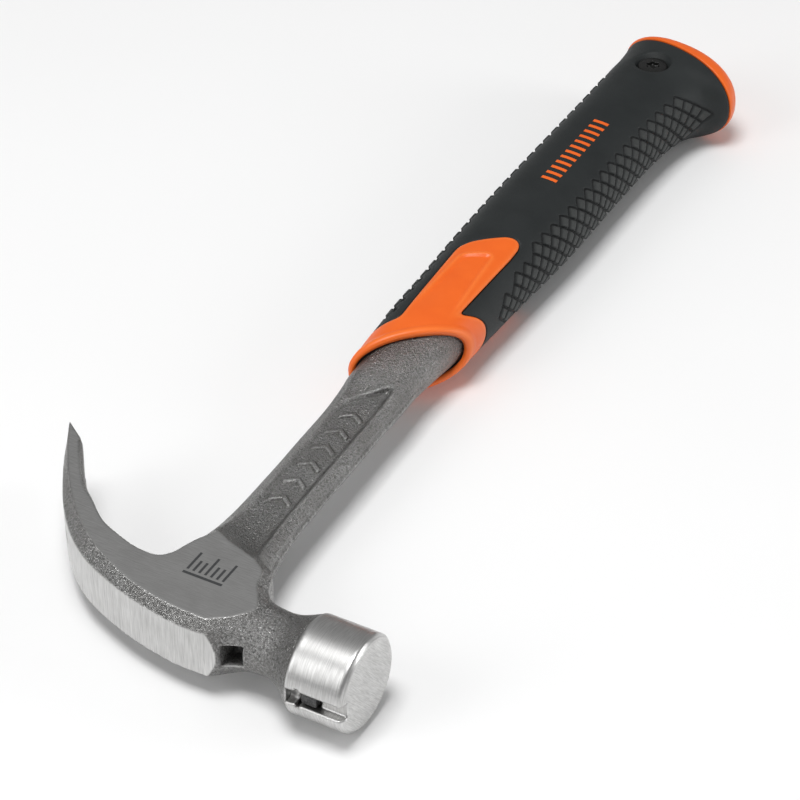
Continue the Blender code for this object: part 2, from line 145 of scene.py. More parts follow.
# Grip: y, centre x, half width, half thickness.
GRIP = [(100.0, -60.5, 11.2, 8.2), (108.0, -60.5, 11.8, 8.8), (118.0, -60.6, 12.6, 10.0),
        (130.0, -60.6, 13.4, 11.2), (142.0, -60.4, 14.1, 12.2), (160.0, -60.2, 14.5, 13.0),
        (184.0, -60.2, 15.3, 13.6), (208.0, -59.9, 16.1, 13.9), (250.0, -59.8, 16.0, 14.0),
        (274.0, -59.4, 16.1, 14.2), (286.0, -58.8, 16.7, 14.5), (292.0, -58.1, 17.4, 14.8),
        (298.0, -56.7, 18.9, 15.1), (303.0, -54.7, 20.9, 15.3), (308.0, -54.2, 21.6, 15.4),
        (325.0, -53.8, 22.2, 15.5)]
GRIP_POWER = 2.2
MOUTH_POINT = (-59.5, 128.1)
MOUTH_SLOPE = 0.92
MOUTH_BEND = -56.5
MOUTH_CURVE = 0.026
BUTT_POINT = (-54.1, 309.0)
BUTT_HALF = (22.9, 15.6)
SEAM_SLOPE = -0.272
SEAM_FLARE = 9.0
SEAM_LIFT = 0.6
# Where the collar ends and the rubber starts: x, y.
COLLAR_TOP = [(-80.0, 123.2), (-75.0, 127.5), (-66.0, 134.9), (-59.5, 140.5), (-50.8, 146.3),
              (-46.0, 153.8), (-42.0, 160.5)]
PANEL_LINE = [(-65.6, 126.0), (-66.8, 172.4), (-66.5, 174.4), (-64.3, 177.5), (-58.4, 182.6), (-55.2, 185.5),
              (-53.0, 186.5), (-51.1, 186.0), (-50.2, 183.8), (-50.0, 178.0), (-50.9, 147.0), (-51.4, 126.0)]
INNER_PANEL_LINE = [(-64.2, 137.9), (-62.9, 169.7), (-55.1, 174.5), (-52.6, 136.2)]
JOINT_GAP = 0.14
SKIN = 2.6

# Knurl: a lattice of diamonds round both edges of the grip.
KNURL_PITCH = (5.6, 5.75)
KNURL_TIP = 253.9
KNURL_DEPTH = 0.75
KNURL_RISE = 0.25
KNURL_GROOVE = (0.08, 0.50)  # from a groove's middle: where its wall starts and ends
KNURL_TOP = (0.35, 0.7)
# Reach of the knurl round the grip from its right and left edge, by height.
KNURL_RIGHT = [(162.0, 0.0), (166.5, 4.4), (176.0, 6.2), (192.0, 9.2), (286.0, 9.2), (291.0, 8.0),
               (296.0, 5.0), (299.0, 0.0)]
KNURL_LEFT = [(134.0, 0.0), (138.0, 9.2), (288.0, 9.2), (293.0, 6.0), (297.0, 0.0)]

# Cross screw
SCREW_LOW, SCREW_HIGH = node_box("grip_screw")
SCREW_X, SCREW_Y = (SCREW_LOW[:2] + SCREW_HIGH[:2]) / 2
SCREW_TOP = SCREW_HIGH[2]
SCREW_RADIUS = (SCREW_HIGH[0] - SCREW_LOW[0]) / 2
COUNTERBORE_RADIUS = 6.2


# ---------------------------------------------------------------- meshes

def new_piece(name, points, faces, material, marks=None):
    """A smooth mesh object from points in millimetres, with one float attribute for each mark."""
    points = np.asarray(points) * MM + FACE_CENTRE
    faces = np.asarray(faces)
    corners = faces.shape[1]
    mesh = bpy.data.meshes.new(name)
    mesh.vertices.add(len(points))
    mesh.vertices.foreach_set("co", points.astype(np.float32).ravel())
    mesh.loops.add(faces.size)
    mesh.loops.foreach_set("vertex_index", faces.astype(np.int32).ravel())
    mesh.polygons.add(len(faces))
    mesh.polygons.foreach_set("loop_start", np.arange(0, faces.size, corners, dtype=np.int32))
    mesh.update(calc_edges=True)
    mesh.validate()
    mesh.shade_smooth()
    for mark, values in (marks or {}).items():
        attribute = mesh.attributes.new(mark, "FLOAT", "POINT")
        attribute.data.foreach_set("value", np.asarray(values, np.float32))
    mesh.materials.append(material)
    obj = bpy.data.objects.new(name, mesh)
    bpy.context.scene.collection.objects.link(obj)
    return obj


def step_up(value, low, high):
    """0 below low, 1 above high and smooth between."""
    t = np.clip((value - low) / (high - low), 0, 1)
    return t * t * (3 - 2 * t)


def smooth_table(rows):
    """A smooth function of the first column that passes through the rows: it returns the other columns."""
    table = np.array(rows, float)
    at, values = table[:, 0], table[:, 1:]
    slopes = np.gradient(values, at, axis=0)

    def read(where):
        where = np.clip(where, at[0], at[-1])
        i = np.clip(np.searchsorted(at, where) - 1, 0, len(at) - 2)
        span = at[i + 1] - at[i]
        t = (where - at[i]) / span
        start, stop = 2 * t ** 3 - 3 * t ** 2 + 1, 3 * t ** 2 - 2 * t ** 3
        leave, arrive = (t ** 3 - 2 * t ** 2 + t) * span, (t ** 3 - t ** 2) * span
        return [start * v[i] + stop * v[i + 1] + leave * m[i] + arrive * m[i + 1]
                for v, m in zip(values.T, slopes.T)]
    return read


def spline(points, steps=5):
    """A smooth open line through the points, by Catmull and Rom's rule."""
    ends = [points[0], *points, points[-1]]
    line = []
    for before, start, stop, after in zip(ends, ends[1:], ends[2:], ends[3:]):
        for t in np.arange(steps) / steps:
            line.append(tuple(
                0.5 * (2 * b + (c - a) * t + (2 * a - 5 * b + 4 * c - d) * t ** 2
                       + (3 * b - a - 3 * c + d) * t ** 3)
                for a, b, c, d in zip(before, start, stop, after)))
    return line + [points[-1]]


def circle_angles(count):
    return np.linspace(0, 2 * math.pi, count, endpoint=False)


# ---------------------------------------------------------------- implicit solids

def blend_min(a, b, width):
    """The lower of two distances, with a fillet of about this width where they cross."""
    h = np.clip(0.5 + 0.5 * (b - a) / width, 0, 1)
    return b + (a - b) * h - width * h * (1 - h)


def blend_max(a, b, width):
    return -blend_min(-a, -b, width)


def outline_distance(x, y, outline):
    """Signed distance in the plane to a closed outline; negative inside."""
    nearest = np.full(np.broadcast(x, y).shape, np.inf)
    inside = np.zeros(nearest.shape, bool)
    for (ax, ay), (bx, by) in zip(outline, outline[1:] + outline[:1]):
        ex, ey = bx - ax, by - ay
        if ex == ey == 0:
            continue
        t = np.clip(((x - ax) * ex + (y - ay) * ey) / (ex * ex + ey * ey), 0, 1)
        nearest = np.minimum(nearest, (x - ax - ex * t) ** 2 + (y - ay - ey * t) ** 2)
        if ey:
            inside ^= ((ay > y) != (by > y)) & (x < ex * (y - ay) / ey + ax)
    return np.where(inside, -1, 1) * np.sqrt(nearest)


SIDE_OUTLINE = spline(SIDE_LINE) + spline(INNER_LINE) + spline(CHEEK_LINE)
PAD_OUTLINE = spline(PAD_LINE) + spline(INNER_LINE) + spline(CHEEK_FOOT)
BAY_OUTLINE = spline(INNER_LINE) + [(-62.0, 60.0), (-117.0, 60.0)]
WAIST_AT = smooth_table(WAIST)
NECK_AT = smooth_table(NECK)
NECK_PANEL_AT = smooth_table(NECK_PANEL)
GRIP_AT = smooth_table(GRIP)


def head_shape(x, y, z):
    """Claw and cheeks: the side's outline widens to the pad's over a forged chamfer."""
    up = np.abs(z)
    side = outline_distance(x, y, SIDE_OUTLINE)
    pad = outline_distance(x, y, PAD_OUTLINE)
    share = np.clip((up - PAD_HALF_WIDTH) / (HALF_THICKNESS - PAD_HALF_WIDTH), 0, 1)
    head = pad + (side - pad) * share
    pad_end = PAD_END_SLANT[0] * (x - PAD_END[0] + PAD_END_CURVE * z * z)
    pad_end = pad_end - PAD_END_SLANT[1] * (y - PAD_END[1])
    head = blend_max(head, pad_end, 0.5)
    ground = up - HALF_THICKNESS - 0.5 * np.maximum(x - CHEEK_RELIEF_X, 0)
    chamfer = INNER_CHAMFER * step_up(-x, *INNER_CHAMFER_RUN)
    inner_edge = (ground + chamfer - outline_distance(x, y, BAY_OUTLINE)) * 0.7
    return head, np.maximum(ground, inner_edge)


def neck_shape(x, y, z):
    """Flat bar with bevelled sides and a sunken panel, swelling into the collar."""
    up = np.abs(z)
    slanted = y + ROOT_SLANT * (x - ROOT_POINT[0]) * np.clip((ROOT_POINT[1] - y) / ROOT_LENGTH, 0, 1)
    centre, half, edge, ridge, ridge_z, crown = NECK_AT(slanted)
    grip_centre, grip_half, grip_thick = GRIP_AT(slanted)
    ending = 1 - step_up(slanted, *SWELL_END)
    inset = step_up(slanted, *SWELL_START) * ending
    centre = centre + (grip_centre - centre) * inset
    half = half + (grip_half - COLLAR_WALL - half) * inset
    flash = 1.0 + 0.3 * (np.sin(0.9 * y) + np.sin(2.1 * y + 1.0) + np.sin(3.7 * y + 2.0))
    flash = FLASH * flash * (1 - inset) * np.exp(-(up / FLASH_WIDTH) ** 2)
    across = np.abs(x - centre)
    top = ridge_z + (edge - ridge_z) * np.clip((across - ridge) / (half - ridge), 0, 1)
    top = top + crown * np.clip(1 - (across / ridge) ** 2, 0, 1)
    thick = (ridge_z + crown) * (1 - inset) + (grip_thick - COLLAR_WALL) * inset
    dome = thick * np.maximum(1 - (across / half) ** GRIP_POWER, 0) ** (1 / GRIP_POWER)
    top = top + (dome - top) * step_up(slanted, *DOME_START) * ending
    neck = blend_max((up - top) * 0.88, across - half - flash, 0.5)
    neck = np.maximum(neck, np.maximum(NECK_START - y, y - TANG_STUB))
    panel_half, floor = NECK_PANEL_AT(slanted)
    wall = (across - panel_half - 0.45 * (up - floor)) * 0.9
    end = (y - PANEL_END[1] - PANEL_END_SLOPE * (x - PANEL_END[0])) * 0.67
    recess = blend_max(blend_max(wall, end, 2.6), floor - up, 0.9)
    return blend_max(neck, -recess, 0.5)


def ornament_shape(x, y, z):
    """Raised chevrons in the neck's panel."""
    centre = NECK_AT(y)[0]
    across = np.abs(x - centre)
    first, last = CHEVRON_RUN
    along = (y - first) % CHEVRON_PITCH - CHEVRON_PITCH / 2
    stroke = np.abs(along + CHEVRON_LEAN * across - 1.2) * 0.8 - CHEVRON_HALF_STROKE
    chevron = np.maximum(stroke, across - CHEVRON_HALF_WIDTH)
    field = np.maximum(first - y, y - last)
    floor = NECK_PANEL_AT(y)[1]
    return np.maximum(np.maximum(chevron, field), np.abs(z) - floor - 0.5)


def forging(x, y, z):
    """Signed distance to the steel, about right near its surface; negative inside."""
    up = np.abs(z)
    head, ground = head_shape(x, y, z)
    axis_y, radius = WAIST_AT(x)
    waist = (np.hypot(y - axis_y, z) - radius) * 0.85
    waist = np.maximum(waist, np.maximum(-60.0 - x, x + 15.5))
    steel = blend_min(head, waist, 3.4)
    steel = blend_min(steel, neck_shape(x, y, z), 4.5)
    steel = blend_max(steel, ground, 0.35)
    around = np.hypot(y, z)
    poll = blend_max(around - POLL_RADIUS, np.maximum(x, -POLL_LENGTH - x), 0.5)
    inset = POLL_RADIUS - FACE_RADIUS
    chamfer = (around - POLL_RADIUS) * FACE_CHAMFER + (x + FACE_CHAMFER) * inset
    poll = blend_max(poll, chamfer / math.hypot(FACE_CHAMFER, inset), 0.3)
    steel = blend_min(steel, poll, 0.3)
    steel = blend_min(steel, ornament_shape(x, y, z), 0.35)

    groove = blend_max(up - GROOVE_HALF_WIDTH, y + GROOVE_BOTTOM, 1.0)
    steel = blend_max(steel, -np.maximum(groove, GROOVE_END - x), 0.15)
    head_slot = np.maximum(NAIL_HEAD_SLOT[0] - x, x - NAIL_HEAD_SLOT[1])
    head_slot = np.maximum(np.maximum(head_slot, up - NAIL_HEAD_HALF_WIDTH), y + NAIL_HEAD_BOTTOM)
    steel = blend_max(steel, -head_slot, 0.2)
    seat_low, seat_high = MAGNET_LOW - SEAT_GAP, MAGNET_HIGH + SEAT_GAP
    seat = np.maximum(np.maximum(seat_low[0] - x, x - seat_high[0]),
                      np.maximum(up - seat_high[2], y - seat_high[1]))
    steel = blend_max(steel, -seat, 0.3)
    pocket = np.maximum(np.maximum(POCKET_X[0] - x, x - POCKET_X[1]), up - POCKET_HALF_WIDTH)
    pocket = blend_max(pocket, y - POCKET_FLOOR, 0.8)
    steel = blend_max(steel, -pocket, 0.5)

    along = (x - SLOT_TIP[0]) * SLOT_CHORD[0] + (y - SLOT_TIP[1]) * SLOT_CHORD[1]
    half_gap = SLOT_ROOT + SLOT_FLARE * (SLOT_LENGTH - along)
    slot = blend_max(up - half_gap, along - SLOT_LENGTH, 1.0)
    slot = np.maximum(slot, x - SLOT_LIMIT_X)
    return blend_max(steel, -slot, 0.5)


def surface_nets(field, low, step):
    """Quads on the zero surface of a grid of distances: a point in each cell that it crosses."""
    sign = field < 0
    shape = np.array(field.shape) - 1
    corners = list(product((0, 1), repeat=3))
    windows = [tuple(slice(c, c + n) for c, n in zip(corner, shape)) for corner in corners]
    count = sum(sign[window].astype(np.int8) for window in windows)
    active = (count > 0) & (count < 8)
    index = np.full(active.shape, -1)
    index[active] = np.arange(active.sum())
    cells = np.argwhere(active)
    total, hits = np.zeros((len(cells), 3)), np.zeros(len(cells))
    for a, b in product(corners, repeat=2):
        if sum(b) - sum(a) != 1 or any(q < p for p, q in zip(a, b)):
            continue
        start, stop = np.array(a), np.array(b)
        at_start, at_stop = field[tuple((cells + start).T)], field[tuple((cells + stop).T)]
        crosses = (at_start < 0) != (at_stop < 0)
        t = (at_start / np.where(crosses, at_start - at_stop, 1))[:, None]
        total += np.where(crosses[:, None], start + (stop - start) * t, 0)
        hits += crosses
    points = (cells + total / hits[:, None]) * step + low

    quads = []
    for axis in range(3):
        u, v = (axis + 1) % 3, (axis + 2) % 3
        first = np.moveaxis(sign, axis, 0)
        change = np.moveaxis(first[:-1] != first[1:], 0, axis)
        at = np.argwhere(change)
        at = at[(at[:, u] > 0) & (at[:, v] > 0) & (at[:, u] < shape[u]) & (at[:, v] < shape[v])]
        side_u, side_v = np.eye(3, dtype=int)[u], np.eye(3, dtype=int)[v]
        ring = [index[tuple((at - offset).T)] for offset in (side_u * 0, side_u, side_u + side_v, side_v)]
        ring = np.stack(ring, 1)
        outward = sign[tuple(at.T)]
        quads.append(np.where(outward[:, None], ring, ring[:, ::-1]))
    return points, np.concatenate(quads)


def settle(points, distance, rounds=2):
    """Moves points along the slope until the distance there is nought."""
    reach = 0.05
    for _ in range(rounds):
        here = distance(*points.T)
        slope = np.stack([(distance(*(points + reach * axis).T) - here) / reach for axis in np.eye(3)], 1)
        move = here[:, None] * slope / np.maximum((slope ** 2).sum(1, keepdims=True), 0.2)
        length = np.linalg.norm(move, axis=1, keepdims=True)
        points = points - move * np.minimum(1, 0.3 / np.maximum(length, 1e-9))
    return points


def convexity(points, faces):
    """How far each point stands out from its neighbours, in millimetres; negative in a hollow."""
    total, count = np.zeros_like(points), np.zeros(len(points))
    normal = np.zeros_like(points)
    corners = [points[faces[:, i]] for i in range(faces.shape[1])]
    facing = np.cross(corners[2] - corners[0], corners[-1] - corners[1])
    for i in range(faces.shape[1]):
        after = faces[:, (i + 1) % faces.shape[1]]
        for a, b in ((faces[:, i], after), (after, faces[:, i])):
            for k in range(3):
                total[:, k] += np.bincount(a, points[b, k], len(points))
            count += np.bincount(a, minlength=len(points))
        for k in range(3):
            normal[:, k] += np.bincount(faces[:, i], facing[:, k], len(points))
    normal /= np.maximum(np.linalg.norm(normal, axis=1, keepdims=True), 1e-12)
    return ((points - total / count[:, None]) * normal).sum(1)


def forging_marks(points):
    """Where the forging is ground bright: its cheeks, the pad on its back, the poll and the face."""
    x, y, z = points.T
    up = np.abs(z)
    side = x < -33.0
    cheek = step_up(up, HALF_THICKNESS - 0.14, HALF_THICKNESS - 0.04) * side * (y < 46.0)
    pad = np.abs(outline_distance(x, y, PAD_OUTLINE))
    underside = outline_distance(x, y, BAY_OUTLINE) < 1.2
    pad = (1 - step_up(pad, 0.05, 0.16)) * (up < PAD_HALF_WIDTH + 0.3) * side * ~underside
    pad *= (x < -41.0) * (y < 45.0)
    pad *= outline_distance(x, y, spline(CHEEK_FOOT) + [(-50.0, 0.0)]) > 0.5
    around = np.hypot(y, z)
    poll = step_up(around, POLL_RADIUS - 0.2, POLL_RADIUS - 0.06) * (x > -POLL_LENGTH - 0.1)
    chamfered = step_up(x, -FACE_CHAMFER - 0.2, -FACE_CHAMFER) * (around > 9.0)
    face = step_up(x, -0.15, -0.04)
    in_groove = (up < GROOVE_HALF_WIDTH + 0.3) * (around < POLL_RADIUS - 0.2)
    in_groove = in_groove * (y < -GROOVE_BOTTOM + 0.3) * (x > GROOVE_END)
    poll = np.maximum(np.maximum(poll, chamfered), in_groove)
    return {"cheek": cheek, "pad": pad, "poll": poll, "face": face}


def build_forging(material, step=0.5):
    low = np.array([-128.0, -16.0, -(math.ceil(15.6 / step)) * step])
    high = np.array([1.6, TANG_STUB + 1.5, -low[2]])
    counts = np.round((high - low) / step).astype(int) + 1
    x, y, z = (low[i] + step * np.arange(counts[i]) for i in range(3))
    upper = z[counts[2] // 2:]
    field = forging(x[:, None, None], y[None, :, None], upper[None, None, :]).astype(np.float32)
    field = np.concatenate([field[:, :, :0:-1], field], axis=2)
    points, faces = surface_nets(field, low, step)
    points = settle(points, forging)
    marks = forging_marks(points)
    # edge drives the lighter worn edges and also the painted shade in the steel's hollows.
    marks["edge"] = convexity(points, faces) / step
    stretch = points[:, 1] > TANG_START
    share = (points[stretch, 1] - TANG_START) / (TANG_STUB - TANG_START)
    points[stretch, 1] = TANG_START + share * (TANG_END - TANG_START)
    obj = new_piece("forging", points, faces, material, marks)
    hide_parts("forged_body")


# ---------------------------------------------------------------- grip skins

COLLAR_TOP_AT = smooth_table(COLLAR_TOP)


def round_corners(outline, reach):
    """The outline with its corners cut off twice, no further from each than this reach."""
    for _ in range(2):
        cut = []
        for before, corner, after in zip(outline[-1:] + outline[:-1], outline, outline[1:] + outline[:1]):
            for other in (before, after):
                share = min(reach / math.dist(corner, other), 1 / 3)
                cut.append(tuple(c + (o - c) * share for c, o in zip(corner, other)))
        outline, reach = cut, reach / 2
    return outline


PANEL_OUTLINE = round_corners(PANEL_LINE, 0.6)
INNER_PANEL_OUTLINE = round_corners(INNER_PANEL_LINE, 1.0)


def mouth(x):
    bend = MOUTH_CURVE * np.maximum(x - MOUTH_BEND, 0) ** 2
    return MOUTH_POINT[1] + MOUTH_SLOPE * (x - MOUTH_POINT[0]) + bend


def butt(x):
    return BUTT_POINT[1] + SEAM_LIFT + SEAM_SLOPE * (x - BUTT_POINT[0])


def oval(angle, half, thick):
    """Distance from the middle of the grip's oval section to its edge."""
    across, up = np.abs(np.cos(angle) / half), np.abs(np.sin(angle) / thick)
    return (across ** GRIP_POWER + up ** GRIP_POWER) ** (-1 / GRIP_POWER)


def section_point(angle, y):
    """Points of the grip's surface at these directions and heights, and the way out of it there."""
    centre, half, thick = GRIP_AT(y)
    across, up = np.cos(angle), np.sin(angle)
    share_x, share_z = np.abs(across / half), np.abs(up / thick)
    size = (share_x ** GRIP_POWER + share_z ** GRIP_POWER) ** (1 / GRIP_POWER)
    points = np.stack([centre + across / size, y + 0 * size, up / size], -1)
    out = np.stack([np.sign(across) * share_x ** (GRIP_POWER - 1) / half, 0 * size,
                    np.sign(up) * share_z ** (GRIP_POWER - 1) / thick], -1)
    return points, out / np.linalg.norm(out, axis=-1, keepdims=True)


def arc_from_edge(angle, y, steps=40):
    """Distance round the grip from the nearer edge of its section."""
    fold = np.abs(np.arctan2(np.sin(angle), np.abs(np.cos(angle))))
    line = np.stack([section_point(fold * i / steps, y)[0] for i in range(steps + 1)])
    return np.linalg.norm(np.diff(line, axis=0), axis=-1).sum(0) * np.sign(np.sin(angle))


def column_angles(edge_step, cheek_step, edge_reach=12.6):
    """Directions round the grip: edge_step apart round its edges and cheek_step on its cheeks."""
    fine = np.linspace(0, math.pi / 2, 600)
    arc = arc_from_edge(fine, np.full(600, 230.0), 200)
    stops = np.concatenate([
        np.linspace(0, edge_reach, round(edge_reach / edge_step), endpoint=False),
        np.linspace(edge_reach, arc[-1], round((arc[-1] - edge_reach) / cheek_step) + 1)])
    quarter = np.interp(stops, arc, fine)
    half = np.concatenate([quarter, math.pi - quarter[-2:0:-1]])
    return np.concatenate([half, half + math.pi])


def skin_point(place, front, back):
    """Where (direction, share of the way from front to back) is on the grip, and the way out there."""
    angle, share = place.T
    x = np.full(len(place), MOUTH_POINT[0])
    for _ in range(8):
        points, out = section_point(angle, front(x) + (back(x) - front(x)) * share)
        x = points[:, 0]
    return points, out


def skin_grid(angles, shares):
    """Triangles over a grid that wraps round the grip."""
    place = np.stack(np.meshgrid(angles, shares), -1).reshape(-1, 2)
    index = np.arange(len(place)).reshape(len(shares), len(angles))
    a, d = index[:-1].ravel(), index[1:].ravel()
    b, c = np.roll(index, -1, 1)[:-1].ravel(), np.roll(index, -1, 1)[1:].ravel()
    return place, np.concatenate([np.stack([a, d, b], 1), np.stack([b, d, c], 1)])


def between(start, stop, share):
    """A place part of the way between two, the short way round."""
    step = stop - start
    step[..., 0] -= 2 * math.pi * np.round(step[..., 0] / (2 * math.pi))
    return start + step * share


def cut_surface(place, triangles, distance):
    """The part of a surface where distance is negative, with points exactly where it is nought."""
    values = distance(place)
    edges = np.unique(np.sort(np.concatenate([triangles[:, [0, 1]], triangles[:, [1, 2]],
                                              triangles[:, [2, 0]]]), axis=1), axis=0)
    crossed = edges[values[edges[:, 0]] * values[edges[:, 1]] < 0]
    share = values[crossed[:, 0]] / (values[crossed[:, 0]] - values[crossed[:, 1]])
    stops = between(place[crossed[:, 0]], place[crossed[:, 1]], share[:, None])
    for end, near in ((0, share < 0.3), (1, share > 0.7)):
        place[crossed[near, end]] = stops[near]
        values[crossed[near, end]] = 0
    most, least = values[triangles].max(1), values[triangles].min(1)
    kept = triangles[(most <= 0) & (least < 0)]
    extra, added, made = [], [], {}
    for corners in triangles[(most > 0) & (least < 0)]:
        ring = []
        for a, b in zip(corners, np.roll(corners, -1)):
            if values[a] <= 0:
                ring.append(a)
            if values[a] * values[b] < 0:
                edge = (min(a, b), max(a, b))
                if edge not in made:
                    made[edge] = len(place) + len(extra)
                    extra.append(between(place[a], place[b], values[a] / (values[a] - values[b])))
                ring.append(made[edge])
        added += [(ring[0], ring[i], ring[i + 1]) for i in range(1, len(ring) - 1)]
    place = np.concatenate([place, extra]) if extra else place
    kept = np.concatenate([kept, added]) if added else kept
    used, kept = np.unique(kept, return_inverse=True)
    return place[used], kept.reshape(-1, 3)


def add_walls(points, triangles, marks, rings):
    """Walls from a surface's open edges: each ring function says where the edge's points go next."""
    starts = triangles.ravel()
    stops = np.roll(triangles, -1, 1).ravel()
    open_edge = ~np.isin(starts * len(points) + stops, stops * len(points) + starts)
    starts, stops = starts[open_edge], stops[open_edge]
    rim = np.unique(starts)
    before = rim
    for ring in rings:
        fresh = ring(rim, points[before])
        after = np.arange(len(points), len(points) + len(rim))
        a, b = before[np.searchsorted(rim, starts)], before[np.searchsorted(rim, stops)]
        c, d = after[np.searchsorted(rim, starts)], after[np.searchsorted(rim, stops)]
        triangles = np.concatenate([triangles, np.stack([b, a, c], 1), np.stack([b, c, d], 1)])
        points = np.concatenate([points, fresh])
        marks = {name: np.concatenate([values, values[rim]]) for name, values in marks.items()}
        before = after
    return points, triangles, marks


def orange_distance(points):
    """Distance to the orange plastic's outline, seen square to the cheek; negative on it."""
    x, y = points[:, 0], points[:, 1]
    collar = (y - COLLAR_TOP_AT(x)[0]) * 0.74
    return blend_min(collar, outline_distance(x, y, PANEL_OUTLINE), 1.6)


def screw_distance(points):
    return np.hypot(points[:, 0] - SCREW_X, points[:, 1] - SCREW_Y)


def knurl(arc, y, right):
    """How deep the knurl's groove is here, from 0 to 1, and how far this is on a diamond's top."""
    across, along = arc / KNURL_PITCH[0], (y - KNURL_TIP) / KNURL_PITCH[1]
    p, q = across + along, across - along
    scale = 1 / math.hypot(1 / KNURL_PITCH[0], 1 / KNURL_PITCH[1])

    def active(cell_p, cell_q):
        centre_p, centre_q = cell_p + 0.5, cell_q + 0.5
        middle = np.abs(centre_p + centre_q) / 2 * KNURL_PITCH[0]
        height = KNURL_TIP + (centre_p - centre_q) / 2 * KNURL_PITCH[1]
        limits = [np.interp(height, *zip(*rows)) for rows in (KNURL_RIGHT, KNURL_LEFT)]
        return middle < np.where(right, *limits)

    near_p, near_q = np.round(p), np.round(q)
    on_p = active(near_p - 1, np.floor(q)) | active(near_p, np.floor(q))
    on_q = active(np.floor(p), near_q - 1) | active(np.floor(p), near_q)
    gap = np.minimum(np.where(on_p, np.abs(p - near_p) * scale, np.inf),
                     np.where(on_q, np.abs(q - near_q) * scale, np.inf))
    groove = 1 - step_up(gap, *KNURL_GROOVE)
    top = active(np.floor(p), np.floor(q)) * step_up(gap, *KNURL_TOP)
    return groove, top


def build_rubber(material):
    def front(x):
        return COLLAR_TOP_AT(x)[0] - 1.5

    def outside(place):
        points = skin_point(place, front, butt)[0]
        rubber = JOINT_GAP - orange_distance(points)
        return np.maximum(rubber, COUNTERBORE_RADIUS - screw_distance(points))

    shares = np.linspace(0, 1, 436)
    place, triangles = skin_grid(column_angles(0.37, 0.9), shares)
    place, triangles = cut_surface(place, triangles, outside)
    base, out = skin_point(place, front, butt)
    groove, top = knurl(arc_from_edge(place[:, 0], base[:, 1]), base[:, 1], np.cos(place[:, 0]) > 0)
    lift = KNURL_RISE * top - KNURL_DEPTH * groove
    bore = screw_distance(base)
    lift -= 0.35 * (1 - step_up(bore, COUNTERBORE_RADIUS, COUNTERBORE_RADIUS + 1.6))
    end = np.maximum(butt(base[:, 0]) - base[:, 1], 0)
    lift -= 0.35 * (1 - step_up(end, 0.0, 1.3)) ** 2
    flare = (np.maximum(1 - end / SEAM_FLARE, 0) ** 2.4)[:, None]
    reach = oval(place[:, 0], BUTT_HALF[0] - 0.25, BUTT_HALF[1] - 0.2)
    rim = np.stack([BUTT_POINT[0] + reach * np.cos(place[:, 0]), base[:, 1],
                    reach * np.sin(place[:, 0])], 1)
    rim[:, 1] += SEAM_SLOPE * (rim[:, 0] - base[:, 0])
    points = base + (rim - base) * flare + out * lift[:, None]

    def down(rim, edge):
        hole = bore[rim] < COUNTERBORE_RADIUS + 0.5
        level = edge * (1, 1, 0) + np.sign(edge) * (0, 0, 1) * (SCREW_TOP - 2.6)
        return np.where(hole[:, None], level, edge - out[rim] * SKIN)

    def under(rim, edge):
        hole = bore[rim] < COUNTERBORE_RADIUS + 0.5
        inward = np.array([SCREW_X, SCREW_Y, 0]) - edge * (1, 1, 0)
        floor = edge + inward * 0.55
        return np.where(hole[:, None], floor, edge - out[rim] * 0.8)

    # The groove and top marks also carry the painted shade and painted highlight in the rubber's colour.
    points, triangles, marks = add_walls(points, triangles, {"groove": groove, "top": top}, (down, under))
    obj = new_piece("rubber_skin", points, triangles, material, marks)
    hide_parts("grip_overmould")


def build_core(material):
    def back(x):
        return 192.0 + 0 * x

    def outside(place):
        return orange_distance(skin_point(place, mouth, back)[0]) + JOINT_GAP

    shares = np.concatenate([np.linspace(0, 0.045, 12, endpoint=False), np.linspace(0.045, 1, 130)])
    place, triangles = skin_grid(column_angles(0.5, 0.5), shares)
    place, triangles = cut_surface(place, triangles, outside)
    base, out = skin_point(place, mouth, back)
    from_mouth = (base[:, 1] - mouth(base[:, 0])) / math.hypot(1, MOUTH_SLOPE)
    lip = 1.1
    drop = lip - np.sqrt(np.maximum(lip ** 2 - np.maximum(lip - from_mouth, 0) ** 2, 0))
    bead = 0.3 * (1 - step_up(from_mouth, 1.7, 3.2))
    inner = -outline_distance(base[:, 0], base[:, 1], INNER_PANEL_OUTLINE)
    fade = step_up(base[:, 1], 139.0, 152.0)
    sunk = 0.6 * step_up(inner, -0.45, 0.55) * fade
    inner_rim = np.exp(-((inner + 0.75) / 0.55) ** 2) * fade
    edge = -orange_distance(base) - JOINT_GAP
    drop = drop + 0.25 * (1 - step_up(edge, 0.0, 0.7)) ** 2
    points = base + out * (bead + 0.1 + 0.12 * inner_rim - drop - sunk)[:, None]
    # Painted highlight along the panel's inner rim, the orange's outline and the mouth's lip.
    rim_highlight_mark = np.maximum(inner_rim, 0.8 * np.exp(-((edge - 0.5) / 0.6) ** 2))
    rim_highlight_mark = np.maximum(rim_highlight_mark, np.exp(-((from_mouth - 1.0) / 0.9) ** 2))
    at_mouth = from_mouth < 0.05

    def down(rim, edge_points):
        depth = np.where(at_mouth[rim], 0.9, SKIN)
        return edge_points - out[rim] * depth[:, None]

    def under(rim, edge_points):
        along = np.array([0.0, 6.0, 0.0])
        return edge_points + np.where(at_mouth[rim][:, None], along, -out[rim] * 0.4)

    points, triangles, marks = add_walls(points, triangles, {"rim": rim_highlight_mark}, (down, under))
    obj = new_piece("core_skin", points, triangles, material, marks)
    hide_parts("core_sleeve")


